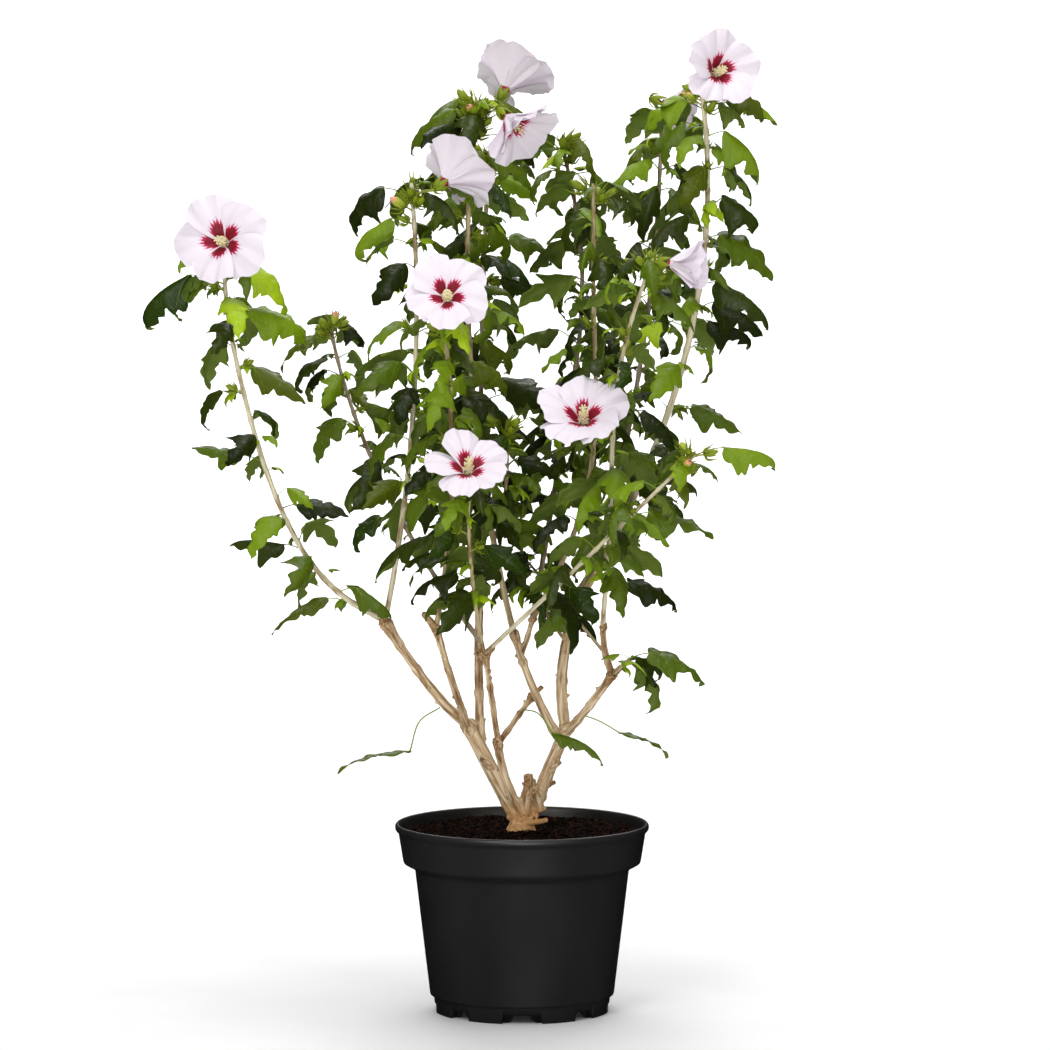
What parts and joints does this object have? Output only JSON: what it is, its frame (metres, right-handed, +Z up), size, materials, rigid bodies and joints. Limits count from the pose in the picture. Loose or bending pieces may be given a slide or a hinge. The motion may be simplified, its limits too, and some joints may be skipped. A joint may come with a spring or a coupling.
{
  "type": "potted hibiscus shrub",
  "caption": "Upright multi-stemmed garden hibiscus shrub with lobed leaves and open white flowers, in its round black plastic nursery pot.",
  "frame": {"origin": "centre of the flat underside of the pot, on the surface the pot stands on", "axes": "+Z up along the pot's axis, +X to the right seen from the front, -Y towards the front"},
  "size_m": [0.7362, 0.5821, 1.0923],
  "materials": {
    "pot": "satin moulded black plastic",
    "soil": "loose fibrous potting compost",
    "bark": "dry grey-brown bark",
    "foliage": "green leaves, satin above, on pale canes"
  },
  "bodies": {
    "root": {"bough_centre": "bark", "bough_centre_fork": "bark", "bough_centre_left": "bark", "bough_centre_right": "bark", "bough_cross": "bark", "bough_left_inner": "bark", "bough_left_low": "bark", "bough_right_bent": "bark", "bough_right_low": "bark", "bough_right_upright": "bark", "cane_centre_right": "foliage", "cane_diagonal": "foliage", "cane_front_diagonal": "foliage", "cane_front_thin": "foliage", "cane_inner_left": "foliage", "cane_inner_right": "foliage", "cane_left_outer": "foliage", "cane_left_tall": "foliage", "cane_rear_far": "foliage", "cane_rear_right": "foliage", "cane_rear_tall": "foliage", "cane_right_tall": "foliage", "cane_small": "foliage", "cane_top": "foliage", "low_leaf_left": "foliage", "low_leaf_middle": "foliage", "low_leaf_right": "foliage", "pot": "pot", "shoot_back": "foliage", "shoot_inner": "foliage", "shoot_right_low": "foliage", "soil": "soil", "stem_left": "bark", "stem_middle": "bark", "stem_right": "bark", "trunk": "bark"}
  },
  "joints": []
}
